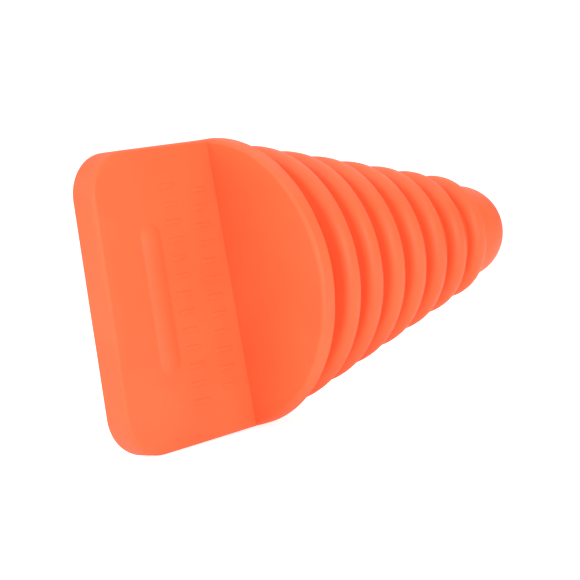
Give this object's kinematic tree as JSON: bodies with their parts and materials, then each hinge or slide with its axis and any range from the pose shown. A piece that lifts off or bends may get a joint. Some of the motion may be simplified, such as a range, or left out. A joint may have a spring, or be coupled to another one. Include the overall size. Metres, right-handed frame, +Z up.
{
  "type": "exhaust wash plug",
  "caption": "Soft tapered plug with sealing ribs, a stop flange and a flat pull tab; it closes a motorcycle exhaust pipe while the bike is washed.",
  "frame": {"origin": "centre of the flange's stop face, on the plug's axis, where the pipe's mouth comes to rest", "axes": "+X runs along the plug's axis from the pull tab to the nose; the tab is flat in the XZ plane and its marked front face looks along -Y; +Z is up across the tab's width"},
  "size_m": [0.0858, 0.0442, 0.0452],
  "materials": {
    "orange_rubber": "satin moulded silicone rubber"
  },
  "bodies": {
    "root": {"pull_tab": "orange_rubber", "grip_marks_outer": "orange_rubber", "grip_marks_inner": "orange_rubber", "stop_flange": "orange_rubber", "core_section_1": "orange_rubber", "core_section_2": "orange_rubber", "core_section_3": "orange_rubber", "core_section_4": "orange_rubber", "core_section_5": "orange_rubber", "core_section_6": "orange_rubber", "core_section_7": "orange_rubber", "sealing_rib_1": "orange_rubber", "sealing_rib_2": "orange_rubber", "sealing_rib_3": "orange_rubber", "sealing_rib_4": "orange_rubber", "sealing_rib_5": "orange_rubber", "sealing_rib_6": "orange_rubber", "sealing_rib_7": "orange_rubber", "ball_nose": "orange_rubber"}
  },
  "joints": []
}
